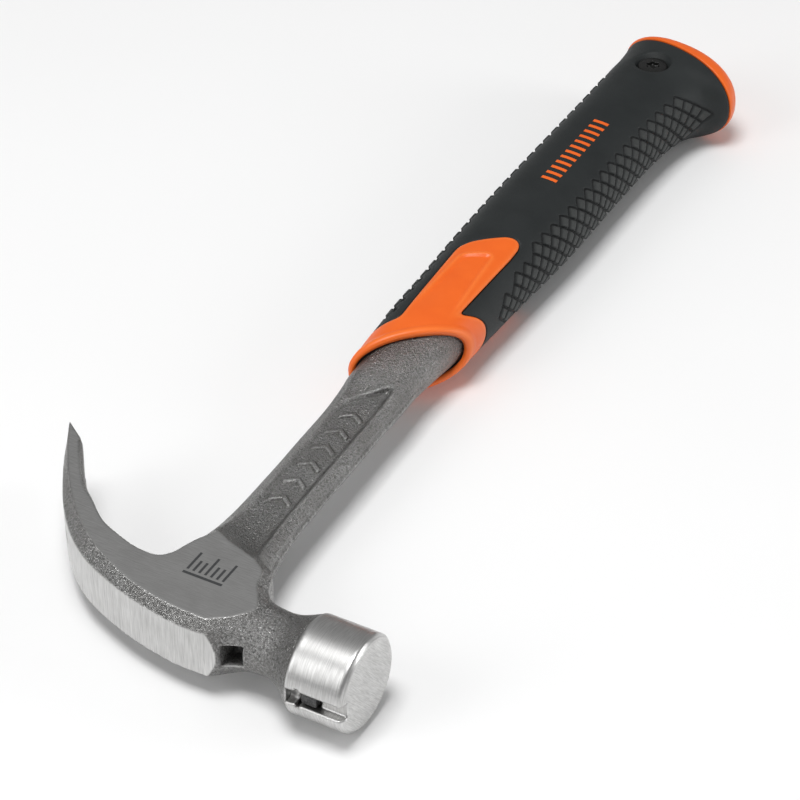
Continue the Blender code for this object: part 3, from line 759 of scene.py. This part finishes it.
def build_seal(material):
    """Thin ring in the collar's mouth, between the steel and the plastic."""
    angles = circle_angles(180)
    place = np.stack([angles, 0 * angles], 1)
    rings = []
    for inset, depth in ((1.85, 1.3), (1.95, 1.0), (2.2, 1.0), (2.3, 1.3), (2.3, 4.5), (1.85, 4.5)):
        base, out = skin_point(place, lambda x, d=depth: mouth(x) + d, butt)
        rings.append(base - out * inset)
    index = np.arange(len(rings) * len(angles)).reshape(len(rings), -1)
    a, b = index.ravel(), np.roll(index, -1, 1).ravel()
    c, d = np.roll(index, (-1, -1), (0, 1)).ravel(), np.roll(index, -1, 0).ravel()
    triangles = np.concatenate([np.stack([a, c, b], 1), np.stack([a, d, c], 1)])
    obj = new_piece("mouth_seal", np.concatenate(rings), triangles, material)
    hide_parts("collar_seal")


# ---------------------------------------------------------------- lofted pieces

def loft(name, rings, material, marks=None):
    """A closed skin through rings of equal length, with a point in the middle of each end."""
    count, size = len(rings), len(rings[0])
    points = np.concatenate([*rings, [np.mean(rings[0], 0)], [np.mean(rings[-1], 0)]])
    index = np.arange(count * size).reshape(count, size)
    a, b = index[:-1].ravel(), np.roll(index, -1, 1)[:-1].ravel()
    c, d = np.roll(index, -1, 1)[1:].ravel(), index[1:].ravel()
    first, last = np.full(size, count * size), np.full(size, count * size + 1)
    triangles = np.concatenate([
        np.stack([a, b, c], 1), np.stack([a, c, d], 1),
        np.stack([first, np.roll(index[0], -1), index[0]], 1),
        np.stack([last, index[-1], np.roll(index[-1], -1)], 1)])
    volume = np.einsum("ij,ij->i", points[triangles[:, 0]] - points.mean(0), np.cross(
        points[triangles[:, 1]] - points.mean(0), points[triangles[:, 2]] - points.mean(0))).sum()
    triangles = triangles if volume > 0 else triangles[:, ::-1]
    return new_piece(name, points, triangles, material, marks)


def build_cap(material):
    """Hard cap over the butt, a low dome on a slanted oval, with a step under its rim."""
    profile = smooth_table([(0.0, 0.9, SEAM_SLOPE, 0.90), (0.4, 0.9, SEAM_SLOPE, 0.984),
                            (0.8, 1.4, -0.26, 0.996), (1.5, 2.6, -0.235, 0.995), (2.4, 4.2, -0.185, 0.965),
                            (3.4, 5.7, -0.145, 0.88), (4.4, 6.9, -0.12, 0.74), (5.6, 7.8, -0.105, 0.52),
                            (7.0, 8.25, -0.10, 0.22), (7.8, 8.28, -0.10, 0.03)])
    angles = circle_angles(144)
    rings = []
    for where in np.linspace(0, 7.8, 64):
        height, slope, scale = (float(value) for value in profile(np.array([where])))
        reach = oval(angles, BUTT_HALF[0] * scale, BUTT_HALF[1] * scale)
        x = reach * np.cos(angles)
        rings.append(np.stack([BUTT_POINT[0] + x, BUTT_POINT[1] + height + slope * x,
                               reach * np.sin(angles)], 1))
    obj = loft("end_cap", rings, material)
    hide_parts("butt_cap")


def build_magnet(material):
    """Block magnet with rounded edges, standing proud of the nail groove's floor."""
    middle, half = (MAGNET_LOW + MAGNET_HIGH) / 2, (MAGNET_HIGH - MAGNET_LOW) / 2
    angles = circle_angles(96)
    square = (np.abs(np.cos(angles)) ** 9 + np.abs(np.sin(angles)) ** 9) ** (-1 / 9)
    rings = []
    for depth, scale in ((0.0, 0.80), (0.05, 0.87), (0.16, 0.93), (0.36, 0.97), (0.7, 0.985), (2.2, 0.985)):
        rings.append(np.stack([middle[0] + half[0] * scale * square * np.cos(angles),
                               MAGNET_LOW[1] + depth + 0 * angles,
                               middle[2] + half[2] * scale * square * np.sin(angles)], 1))
    obj = loft("starter_magnet", rings, material)
    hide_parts("nail_magnet")


def build_screw(name, node, radius, top, bottom, lobes, material):
    """Button head with a socket, and its shank: top and bottom are heights, top on the outside."""
    angles = circle_angles(96)
    side = math.copysign(1, top - bottom)
    socket = 2.05 + lobes * np.cos(6 * angles)
    circle = np.ones(len(angles))
    rows = [(socket * 0.15, 1.5), (socket * 0.7, 1.5), (socket * 0.96, 1.35), (socket, 1.1), (socket, 0.35),
            (socket * 1.05, 0.14), (socket * 1.14, 0.06)]
    for share in np.linspace(0.15, 1, 9):
        reach = socket * 1.14 * (1 - share) + circle * (radius - 0.7) * share
        rows.append((reach, 0.04 + 0.22 * share ** 2))
    rows += [(circle * (radius - 0.3), 0.42), (circle * (radius - 0.08), 0.75), (circle * radius, 1.2),
             (circle * radius, 2.2), (circle * 2.5, 2.3), (circle * 2.5, abs(top - bottom) - 0.1),
             (circle * 0.3, abs(top - bottom))]
    rings = [np.stack([SCREW_X + reach * np.cos(angles), SCREW_Y + reach * np.sin(angles),
                       top - side * depth * circle], 1) for reach, depth in rows]
    obj = loft(name, rings, material)
    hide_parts(node)


def build_bars(name, bars, surface, material):
    """Thin printed bars on a surface: centre x and y, and size along x and y."""
    points, triangles = [], []
    columns, rows = 7, 25
    for x, y, wide, tall in bars:
        u, v = np.meshgrid(np.linspace(-0.5, 0.5, columns), np.linspace(-0.5, 0.5, rows))
        at_x, at_y = x + wide * u, y + tall * v
        start = sum(len(part) for part in points)
        points.append(np.stack([at_x, at_y, surface(at_x, at_y)], -1).reshape(-1, 3))
        index = start + np.arange(columns * rows).reshape(rows, columns)
        a, b = index[:-1, :-1].ravel(), index[:-1, 1:].ravel()
        c, d = index[1:, 1:].ravel(), index[1:, :-1].ravel()
        triangles += [np.stack([a, b, c], 1), np.stack([a, c, d], 1)]
    obj = new_piece(name, np.concatenate(points), np.concatenate(triangles), material)


def grip_top(x, y):
    """Height of the grip's upper cheek."""
    centre, half, thick = (value.reshape(np.shape(y)) for value in GRIP_AT(np.ravel(y)))
    return thick * (1 - np.abs((x - centre) / half) ** GRIP_POWER) ** (1 / GRIP_POWER) + 0.06


# ---------------------------------------------------------------- materials

def connect(tree, made, inputs):
    """Gives each of a node's inputs named here its value, or a link from a socket."""
    for key, value in inputs.items():
        if isinstance(value, bpy.types.NodeSocket):
            tree.links.new(value, made.inputs[key])
        else:
            made.inputs[key].default_value = value


def node(tree, kind, inputs, **settings):
    """A shader node with its settings and its inputs."""
    made = tree.nodes.new("ShaderNode" + kind)
    for key, value in settings.items():
        setattr(made, key, value)
    connect(tree, made, inputs)
    return made


def new_material(name):
    made = bpy.data.materials.new(name)
    made.use_nodes = True
    tree = made.node_tree
    return made, tree, tree.nodes["Principled BSDF"]


def texture(tree, scale, detail=3.0, roughness=0.55, turn=(0, 0, 0)):
    """Noise over object space, turned first and then scaled in waves per metre for each axis."""
    place = node(tree, "TexCoord", {}).outputs["Object"]
    place = node(tree, "Mapping", {"Vector": place, "Rotation": turn}, vector_type="POINT").outputs[0]
    place = node(tree, "Mapping", {"Vector": place, "Scale": scale}).outputs[0]
    return node(tree, "TexNoise", {"Vector": place, "Scale": 1.0, "Detail": detail,
                                   "Roughness": roughness}).outputs[0]


def maths(tree, operation, a, b=0.5, clamp=False):
    return node(tree, "Math", {0: a, 1: b}, operation=operation, use_clamp=clamp).outputs[0]


def remap(tree, value, low, high, to_low=0.0, to_high=1.0):
    return node(tree, "MapRange", {"Value": value, "From Min": low, "From Max": high,
                                   "To Min": to_low, "To Max": to_high}).outputs[0]


def blend_values(tree, factor, a, b):
    return node(tree, "Mix", {"Factor": factor, 2: a, 3: b}, data_type="FLOAT").outputs[0]


def blend_colours(tree, factor, a, b):
    return node(tree, "Mix", {"Factor": factor, 6: a, 7: b}, data_type="RGBA").outputs[2]


def mark(tree, name):
    return node(tree, "Attribute", {}, attribute_name=name).outputs["Fac"]


def bump(tree, height, strength, depth):
    return node(tree, "Bump", {"Height": height, "Strength": strength, "Distance": depth}).outputs[0]


def steel_material():
    """Dark scaled forging, ground bright and brushed on the cheeks, the claw's back and the poll."""
    made, tree, shader = new_material("forged_steel_visual")
    cheek, pad, poll, face = (mark(tree, name) for name in ("cheek", "pad", "poll", "face"))
    ground = maths(tree, "MAXIMUM", maths(tree, "MAXIMUM", cheek, pad), maths(tree, "MAXIMUM", poll, face))
    grain = texture(tree, (1500, 1500, 1500), 4.0, 0.65)
    patches = texture(tree, (120, 120, 120), 4.0, 0.6)
    fine = texture(tree, (3400, 3400, 3400), 2.0, 0.6)
    along_cheek = texture(tree, (260, 3600, 300), 3.0, 0.6)
    across_pad = texture(tree, (3000, 2400, 130), 3.0, 0.6)
    round_poll = texture(tree, (4200, 190, 190), 3.0, 0.6)
    brushed = blend_values(tree, pad, along_cheek, across_pad)
    brushed = blend_values(tree, poll, brushed, round_poll)
    brushed = blend_values(tree, face, brushed, texture(tree, (10, 240, 3800), 3.0, 0.6, (0.9, 0, 0)))

    worn = remap(tree, mark(tree, "edge"), 0.05, 0.25, 0.0, 0.7)
    # Painted shade: hollow is 1 where the forging is concave, and it darkens the colour there.
    hollow = remap(tree, mark(tree, "edge"), -0.2, -0.02, 1.0, 0.0)
    scale_colour = blend_colours(tree, remap(tree, grain, 0.35, 0.68),
                                 (0.11, 0.109, 0.107, 1), (0.44, 0.438, 0.43, 1))
    scale_colour = blend_colours(tree, remap(tree, patches, 0.35, 0.7, 0.0, 0.55), scale_colour,
                                 (0.20, 0.195, 0.188, 1))
    scale_colour = blend_colours(tree, worn, scale_colour, (0.52, 0.517, 0.51, 1))
    scale_colour = blend_colours(tree, maths(tree, "MULTIPLY", hollow, 0.75), scale_colour,
                                 (0.06, 0.058, 0.055, 1))
    ground_colour = blend_colours(tree, remap(tree, brushed, 0.3, 0.72),
                                  (0.46, 0.458, 0.452, 1), (0.70, 0.698, 0.69, 1))
    ground_colour = blend_colours(tree, remap(tree, patches, 0.4, 0.75, 0.0, 0.25), ground_colour,
                                  (0.36, 0.357, 0.35, 1))
    colour = blend_colours(tree, ground, scale_colour, ground_colour)
    rough_scale = remap(tree, grain, 0.3, 0.7, 0.44, 0.22)
    rough_ground = remap(tree, brushed, 0.3, 0.7, 0.40, 0.28)
    roughness = blend_values(tree, ground, rough_scale, rough_ground)

    height = maths(tree, "ADD", grain, maths(tree, "MULTIPLY", fine, 0.45))
    normal = node(tree, "Mix", {"Factor": ground, 4: bump(tree, height, 1.0, 0.00045),
                                5: bump(tree, brushed, 0.18, 0.00005)}, data_type="VECTOR").outputs[1]
    connect(tree, shader, {"Base Color": colour, "Roughness": roughness, "Normal": normal, "Metallic": 1.0})
    return made


def plastic_material():
    """Hard orange plastic, satin, lighter where light catches its rims."""
    made, tree, shader = new_material("orange_plastic_visual")
    cloud = texture(tree, (70, 70, 70), 3.0)
    pebble = texture(tree, (2600, 2600, 2600), 2.0)
    colour = blend_colours(tree, remap(tree, cloud, 0.3, 0.7),
                           (0.80, 0.116, 0.005, 1), (0.87, 0.142, 0.009, 1))
    # Painted highlight: the rim mark lightens the orange along the rims and the mouth's lip.
    rim = maths(tree, "MULTIPLY", mark(tree, "rim"), 0.5)
    colour = blend_colours(tree, rim, colour, (0.93, 0.22, 0.035, 1))
    connect(tree, shader, {"Base Color": colour, "Roughness": remap(tree, pebble, 0.3, 0.7, 0.46, 0.36),
                           "Normal": bump(tree, pebble, 0.12, 0.00005)})
    return made


def rubber_material():
    """Soft matt rubber, with a painted highlight on the tops of the diamonds and painted shade in the
    grooves.
    """
    made, tree, shader = new_material("black_rubber_visual")
    cloud = texture(tree, (60, 60, 60), 4.0, 0.6)
    grain = texture(tree, (3800, 3800, 3800), 3.0, 0.6)
    colour = blend_colours(tree, remap(tree, cloud, 0.3, 0.7),
                           (0.0125, 0.015, 0.0155, 1), (0.019, 0.022, 0.0225, 1))
    # Painted highlight on the diamonds' tops.
    colour = blend_colours(tree, maths(tree, "MULTIPLY", mark(tree, "top"), 0.75), colour,
                           (0.043, 0.046, 0.045, 1))
    # Painted shade in the knurl's grooves.
    colour = blend_colours(tree, mark(tree, "groove"), colour, (0.007, 0.0075, 0.008, 1))
    connect(tree, shader, {"Base Color": colour, "Roughness": remap(tree, grain, 0.3, 0.7, 0.66, 0.50),
                           "Normal": bump(tree, grain, 0.25, 0.00006), "Specular IOR Level": 0.3})
    return made


def black_material(name, low, high, roughness, metallic):
    """A dark finish with a fine mottle."""
    made, tree, shader = new_material(name)
    grain = texture(tree, (2400, 2400, 2400), 3.0, 0.6)
    colour = blend_colours(tree, remap(tree, grain, 0.3, 0.7), (*low, 1), (*high, 1))
    connect(tree, shader, {"Base Color": colour, "Metallic": metallic,
                           "Roughness": remap(tree, grain, 0.3, 0.7, roughness + 0.08, roughness - 0.06),
                           "Normal": bump(tree, grain, 0.2, 0.00005)})
    return made


# ---------------------------------------------------------------- assembly

steel = steel_material()
orange = plastic_material()
rubber = rubber_material()
screw_black = black_material("black_steel_visual", (0.012, 0.012, 0.012), (0.035, 0.035, 0.034), 0.36, 0.6)
magnet_dark = black_material("magnet_visual", (0.035, 0.035, 0.036), (0.13, 0.13, 0.13), 0.42, 1.0)
seal_black = black_material("seal_visual", (0.010, 0.010, 0.010), (0.022, 0.022, 0.022), 0.6, 0.0)
etched = black_material("etched_visual", (0.055, 0.057, 0.06), (0.10, 0.102, 0.105), 0.5, 0.7)

build_forging(steel)
build_core(orange)
build_rubber(rubber)
build_cap(orange)
build_screw("cross_screw", "grip_screw", SCREW_RADIUS, SCREW_TOP, SCREW_LOW[2], 0.32, screw_black)
NUT_LOW, NUT_HIGH = node_box("barrel_nut")
build_screw("screw_nut", "barrel_nut", SCREW_RADIUS, NUT_LOW[2], NUT_HIGH[2] + 3.0, 0.0, screw_black)

grip_bars = [(-57.9, 219.5 + 3.4 * i, 5.4, 1.4) for i in range(12)]
build_bars("grip_mark", grip_bars, grip_top, orange)


def cheek_top(x, y):
    return HALF_THICKNESS + 0.03 + 0 * x


cheek_heights = [7.5 if i % 3 == 0 else 4.5 for i in range(7)]
cheek_bars = [(-61.0 + 1.9 * i, 7.0 + 0.5 * tall, 0.75, tall) for i, tall in enumerate(cheek_heights)]
cheek_bars.append((-55.3, 5.6, 12.6, 0.9))
build_bars("cheek_mark", cheek_bars, cheek_top, etched)

build_magnet(magnet_dark)
build_seal(seal_black)

for name in ("forging", "core_skin", "rubber_skin", "end_cap", "cross_screw", "screw_nut", "grip_mark",
             "cheek_mark", "starter_magnet", "mouth_seal"):
    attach(bpy.data.objects[name], "root")


# ---------------------------------------------------------------- stage, light and camera

def build_floor():
    made, tree, shader = new_material("floor_visual")
    tone = texture(tree, (6, 6, 6), 2.0)
    colour = blend_colours(tree, tone, (0.90, 0.90, 0.90, 1), (0.93, 0.93, 0.93, 1))
    connect(tree, shader, {"Base Color": colour, "Roughness": 0.85, "Specular IOR Level": 0.1})
    mesh = bpy.data.meshes.new("floor")
    reach = 8.0
    mesh.from_pydata([(-reach, -reach, 0), (reach, -reach, 0), (reach, reach, 0), (-reach, reach, 0)],
                     [], [(0, 1, 2, 3)])
    mesh.materials.append(made)
    floor = bpy.data.objects.new("floor", mesh)
    bpy.context.scene.collection.objects.link(floor)


def add_light(name, place, width, height, power):
    """A soft box aimed at the middle of the hammer."""
    data = bpy.data.lights.new(name, "AREA")
    data.shape = "RECTANGLE"
    data.size, data.size_y, data.energy = width, height, power
    light = bpy.data.objects.new(name, data)
    light.location = place
    light.rotation_euler = (Vector((0, 0, 0)) - Vector(place)).to_track_quat("-Z", "Y").to_euler()
    bpy.context.scene.collection.objects.link(light)


# The photo's camera: its direction and roll in degrees, place from the striking face, and lens.
CAMERA_TURN = (29.5, 38.2, -0.51)
CAMERA_PLACE = (297.43, -507.24, 559.43)
CAMERA_LENS = 136.2
SENSOR_WIDTH = 36.0


def add_camera():
    azimuth, elevation, roll = (math.radians(angle) for angle in CAMERA_TURN)
    back = Vector((math.sin(azimuth) * math.cos(elevation), -math.cos(azimuth) * math.cos(elevation),
                   math.sin(elevation)))
    right = Vector((math.cos(azimuth), math.sin(azimuth), 0))
    up = back.cross(right)
    side = right * math.cos(roll) + up * math.sin(roll)
    rise = up * math.cos(roll) - right * math.sin(roll)
    data = bpy.data.cameras.new("camera")
    data.lens, data.sensor_width = CAMERA_LENS, SENSOR_WIDTH
    camera = bpy.data.objects.new("camera", data)
    place = Vector(np.array(CAMERA_PLACE) * MM + FACE_CENTRE)
    camera.matrix_world = Matrix.Translation(place) @ Matrix((side, rise, back)).transposed().to_4x4()
    bpy.context.scene.collection.objects.link(camera)
    bpy.context.scene.camera = camera


build_floor()
add_light("key", (0.02, -0.36, 1.50), 0.6, 0.6, 16.0)
add_light("front", (-0.80, -1.28, 0.88), 0.7, 1.1, 6.0)
add_light("right", (1.50, 0.60, 0.50), 0.7, 0.7, 6.0)
world = bpy.data.worlds.new("studio")
world.use_nodes = True
world.node_tree.nodes["Background"].inputs["Color"].default_value = (1, 1, 1, 1)
world.node_tree.nodes["Background"].inputs["Strength"].default_value = 0.30
bpy.context.scene.world = world
bpy.context.scene.view_settings.view_transform = "Standard"
add_camera()
